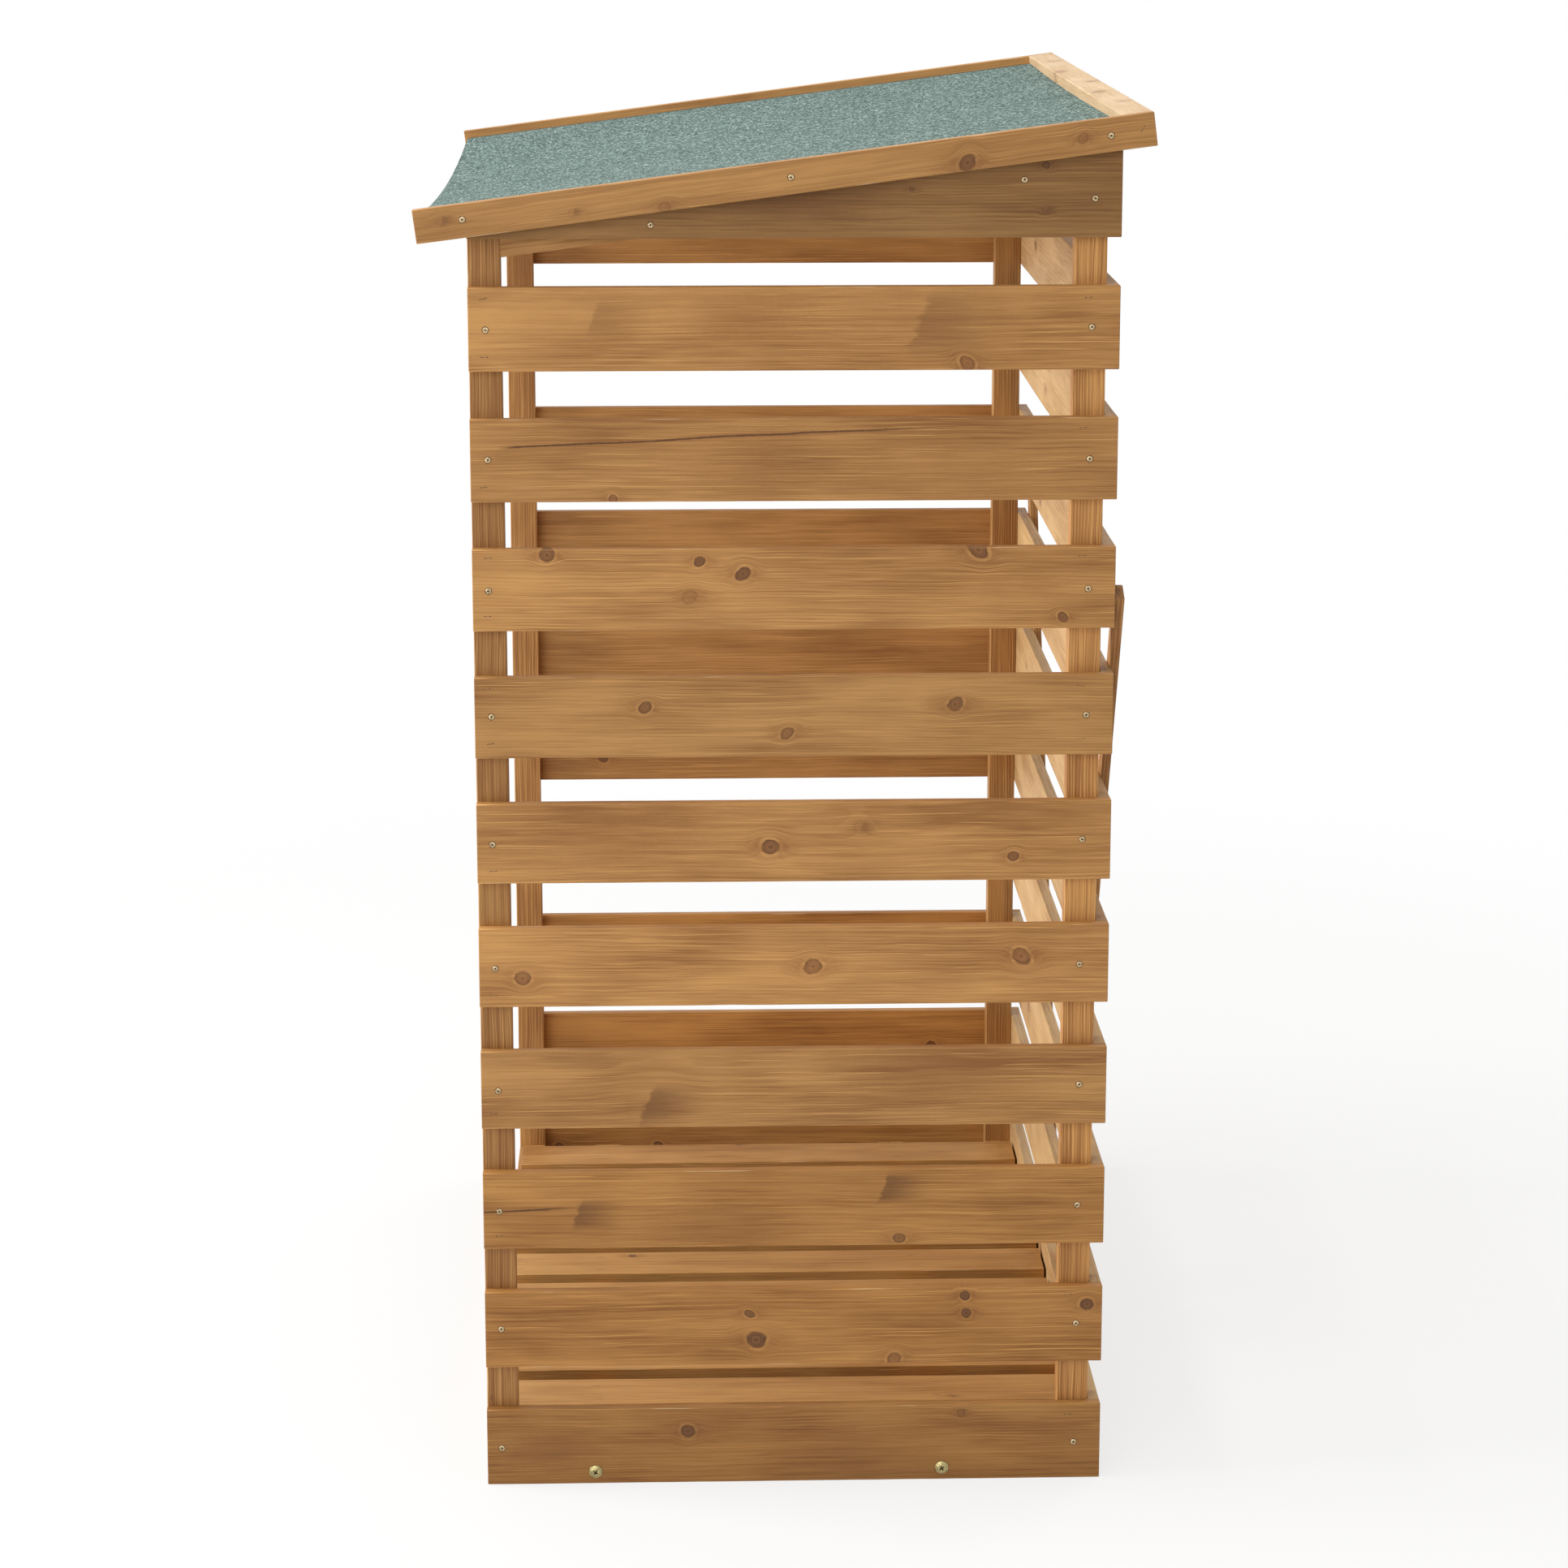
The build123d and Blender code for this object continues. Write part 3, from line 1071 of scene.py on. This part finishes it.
def fixings(name, shape, metal, places):
    """One piece with a copy of the shape at each place; its turn there is given, or by chance."""
    shell = bmesh.new()
    for point, facing, *given_turn in places:
        copy = shape.copy()
        turn = facing.to_track_quat("Z", "Y").to_matrix().to_4x4()
        spin = given_turn[0] if given_turn else chance.uniform(0, math.pi)
        for vertex in copy.vertices:
            x, y, z = vertex.co
            spun_x = x * math.cos(spin) - y * math.sin(spin)
            spun_y = x * math.sin(spin) + y * math.cos(spin)
            vertex.co = turn @ Vector((spun_x, spun_y, z)) + point
        shell.from_mesh(copy)
        bpy.data.meshes.remove(copy)
    mesh = mesh_from(shell, name)
    mesh.materials.append(metal)
    mesh.materials.append(bruise_and_recess_shade_finish)
    made = put_in_scene(name, mesh)
    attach(made, "root")


def beside(amount):
    """A small slip of the hand."""
    return chance.uniform(-amount, amount)


def side_fixings():
    """A screw at each end of every slat, staples above or below some of them, and the bearers' bolts."""
    screw_lines = {}
    for end in ("front", "back"):
        low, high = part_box(f"right_{end}_post")
        screw_lines[end] = (low.y + high.y) / 2
    screws = []
    staples = []
    bolts = []
    for side, sign in (("right", 1), ("left", -1)):
        facing = Vector((sign, 0, 0))
        for level in range(1, slat_count + 1):
            low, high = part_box(f"{side}_slat_{level:02d}")
            face = high.x if sign > 0 else low.x
            middle = (low.z + high.z) / 2
            for line in screw_lines.values():
                place = (face, line + beside(slip_of_hand), middle + beside(slip_of_hand))
                screws.append((Vector(place), facing))
            for (end, rise), levels in staple_levels.items():
                if level in levels:
                    line = screw_lines[end] + staple_from_screw[end]
                    place = (face, line + beside(staple_slip), middle + rise * mm + beside(staple_slip))
                    staples.append((Vector(place), facing, beside(staple_turn)))
        gable_low, gable_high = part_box("gable_boards")
        face = gable_high.x if sign > 0 else gable_low.x
        for from_front, rise in gable_screws:
            screws.append((Vector((face, body_front + from_front, gable_low.z + rise)), facing))
        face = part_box(f"{side}_slat_01")[1 if sign > 0 else 0].x
        for bearer in corner_points("floor_bearers")[1:-1]:
            low, high = box_of(bearer)
            bolts.append((Vector((face, (low.y + high.y) / 2, bolt_height)), facing))
    fixings("side_screws", screw_head, screw_finish, screws)
    fixings("side_staples", staple, wire_finish, staples)
    fixings("bearer_bolts", bolt_head, brass_finish, bolts)


def back_fixings():
    """Two screws at each end of the back boards, and one where a brace crosses every other board."""
    screws = []
    facing = Vector((0, 1, 0))
    post_line = (post_inside + slat_inside) / 2
    for level in range(1, slat_count + 2):
        low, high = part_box(f"back_board_{level:02d}")
        for line in (-post_line, post_line):
            for share in back_screw_shares:
                height = low.z + (high.z - low.z) * share
                place = (line + beside(slip_of_hand), high.y, height + beside(slip_of_hand))
                screws.append((Vector(place), facing))
    for points in corner_points("back_braces"):
        foot, head, top = brace_corners(points)
        face = max(p.y for p in points)
        middle = Vector((top.x - head.x, 0, top.z - head.z)) / 2
        for level in braced_boards:
            low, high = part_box(f"back_board_{level:02d}")
            share = ((low.z + high.z) / 2 - foot.z) / (head.z - foot.z)
            place = foot + (head - foot) * share + middle
            screws.append((Vector((place.x, face, place.z)), facing))
    fixings("back_screws", screw_head, screw_finish, screws)


def roof_fixings():
    """Three screws along each barge board, and a slanting staple at its rear end."""
    screws = []
    staples = []
    reach = max(p.x for p in right_barge) - screw_stand
    middle = barge_length / 2 + barge_screw_past_middle
    for sign in (1, -1):
        facing = Vector((sign, 0, 0))
        for distance in (barge_screw_from_front, middle, barge_length - barge_screw_from_rear):
            drop = beside(slip_of_hand) - barge_height * barge_screw_drop
            screws.append((on_roof(sign * reach, distance, drop), facing))
        end = barge_length - barge_staple_from_rear
        place = on_roof(sign * reach, end, -barge_height * barge_staple_drop)
        staples.append((place, facing, barge_staple_lean))
    fixings("roof_screws", screw_head, screw_finish, screws)
    fixings("roof_staples", staple, wire_finish, staples)


def floor_fixings():
    """Two staples through each floor board into each bearer, along the board."""
    staples = []
    lines = [(box_of(p)[0].y + box_of(p)[1].y) / 2 for p in corner_points("floor_bearers")]
    for board in corner_points("floor_boards"):
        low, high = box_of(board)
        for line in lines:
            for share in floor_staple_shares:
                x = low.x + (high.x - low.x) * share
                place = Vector((x + beside(staple_slip), line + beside(floor_staple_stray), high.z))
                staples.append((place, Vector((0, 0, 1)), math.pi / 2 + beside(floor_staple_turn)))
    fixings("floor_staples", staple, wire_finish, staples)


screw_head = head_shape(
    [(3.5 * mm, head_base), (3.5 * mm, 0.3 * mm), (3.15 * mm, 0.55 * mm), (2.6 * mm, screw_stand)],
    drive_reach=2.0 * mm,
    bruise_radius=4.3 * mm,
)
bolt_head = head_shape(
    [
        (8.4 * mm, head_base), (8.4 * mm, 1.0 * mm), (8.0 * mm, 1.4 * mm), (6.4 * mm, 1.6 * mm),
        (6.0 * mm, 2.6 * mm), (5.2 * mm, 3.4 * mm), (4.0 * mm, 3.8 * mm),
    ],
    drive_reach=3.3 * mm,
    bruise_radius=9.0 * mm,
)
staple = staple_shape()


# Floor, light and camera


def pale_floor():
    """A white floor that shows the store's soft shadow and fades into the white behind it."""
    finish = Finish("pale_floor")
    place = finish.node("ShaderNodeTexCoord", {}, {}, out="Object")
    far = finish.step(place.length(), *floor_fade)
    matt = finish.node("ShaderNodeBsdfDiffuse", {}, {"Color": (0.78, 0.78, 0.77, 1.0)})
    white = finish.node("ShaderNodeEmission", {}, {"Color": (1.0, 1.0, 1.0, 1.0), "Strength": 1.0})
    share = finish.seen_directly() * (floor_white_share + far * (1.0 - floor_white_share))
    shader = finish.node("ShaderNodeMixShader", {}, {0: share, 1: matt, 2: white})
    finish.node("ShaderNodeOutputMaterial", {}, {"Surface": shader})
    shell = bmesh.new()
    bmesh.ops.create_circle(shell, cap_ends=True, segments=96, radius=floor_radius)
    mesh = mesh_from(shell, "pale_floor")
    mesh.materials.append(finish.owner)
    floor = put_in_scene("pale_floor", mesh)
    floor.location.z = -floor_drop


def white_surround(light):
    """An even sky for light, and plain white where the camera looks past the floor."""
    sky = Finish("white_surround", bpy.data.worlds)
    even = sky.node("ShaderNodeBackground", {}, {"Color": (1.0, 0.985, 0.96, 1.0), "Strength": light})
    white = sky.node("ShaderNodeBackground", {}, {"Color": (1.0, 1.0, 1.0, 1.0), "Strength": 1.0})
    mixed = sky.node("ShaderNodeMixShader", {}, {0: sky.seen_directly(), 1: even, 2: white})
    sky.node("ShaderNodeOutputWorld", {}, {"Surface": mixed})
    bpy.context.scene.world = sky.owner


def soft_lamp(name, place, aim_height, power):
    """A wide square lamp that the camera doesn't see."""
    lamp = bpy.data.lights.new(name, "AREA")
    lamp.shape = "SQUARE"
    lamp.size = lamp_width
    lamp.energy = power
    made = put_in_scene(name, lamp)
    made.location = place
    aim = Vector((0, 0, aim_height))
    made.rotation_euler = (aim - Vector(place)).to_track_quat("-Z", "Y").to_euler()
    made.visible_camera = False


def side_camera():
    """Camera on the right-hand side, a little above the roof and looking down at the store."""
    lens = bpy.data.cameras.new("side_camera")
    lens.lens = camera_lens
    lens.sensor_width = camera_sensor
    lens.shift_x, lens.shift_y = camera_shift
    lens.clip_end = camera_reach
    camera = put_in_scene("side_camera", lens)
    camera.location = camera_place
    camera.rotation_euler = (camera_aim - camera_place).to_track_quat("-Z", "Y").to_euler()
    bpy.context.scene.camera = camera


side_slats("right")
side_slats("left")
back_boards()
posts()
gable_boards()
rafters()
front_rail()
back_braces()
timbers_of("floor_boards", Y, X, Z, floor_finish, "floor_timber")
timbers_of("floor_bearers", X, Z, Y, floor_finish, "floor_timber")
barge_boards()
rear_rail()
roof_sheet("roof_deck", deck_finish, "roof_timber")
roof_sheet("roof_felt", felt_finish, "green_felt")
side_fixings()
back_fixings()
roof_fixings()
floor_fixings()

pale_floor()
white_surround(sky_strength)
for lamp_name, lamp_values in lamps.items():
    soft_lamp(lamp_name, *lamp_values)
side_camera()
bpy.context.scene.view_settings.view_transform = "Standard"
